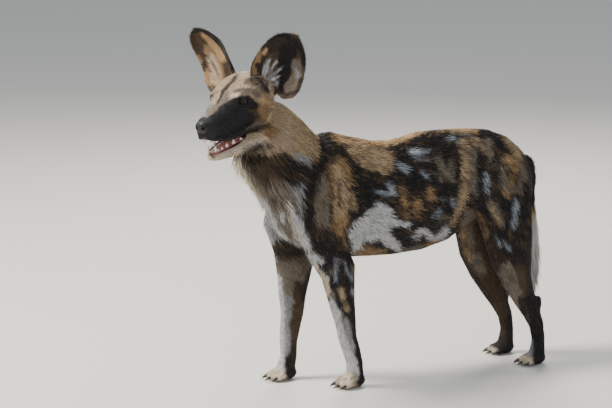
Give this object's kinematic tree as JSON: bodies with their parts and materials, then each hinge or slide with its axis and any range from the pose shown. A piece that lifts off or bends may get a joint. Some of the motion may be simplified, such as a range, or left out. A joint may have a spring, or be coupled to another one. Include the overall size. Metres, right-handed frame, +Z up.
{
  "type": "african wild dog model",
  "caption": "Life-size still model of a standing African wild dog with its head turned to its left, mouth open, round ears up and brush tail hanging.",
  "frame": {"origin": "middle of the dog's box along and across it, at the level of its soles", "axes": "+Z up, the body runs along X with the head at the -X end, the dog's left side faces -Y"},
  "size_m": [0.9674, 0.304, 0.8638],
  "materials": {
    "coat": "short coat in patches of black, tan and white",
    "coat_dark": "dark brown-black hair",
    "coat_pale": "white and cream hair",
    "nose": "moist grained black skin",
    "eye": "wet brown eye",
    "mouth": "moist pink skin",
    "teeth": "enamel"
  },
  "bodies": {
    "root": {"torso": "coat", "neck": "coat", "head": "coat", "ear_left": "coat_dark", "ear_right": "coat_dark", "eye_left": "eye", "eye_right": "eye", "nose": "nose", "lower_jaw": "coat", "tongue": "mouth", "teeth_upper": "teeth", "teeth_lower": "teeth", "forearm_left": "coat", "forearm_right": "coat", "forepaw_left": "coat_pale", "forepaw_right": "coat_pale", "thigh_left": "coat", "thigh_right": "coat", "shank_left": "coat", "shank_right": "coat", "hindpaw_left": "coat_pale", "hindpaw_right": "coat_pale", "tail": "coat_pale"}
  },
  "joints": []
}
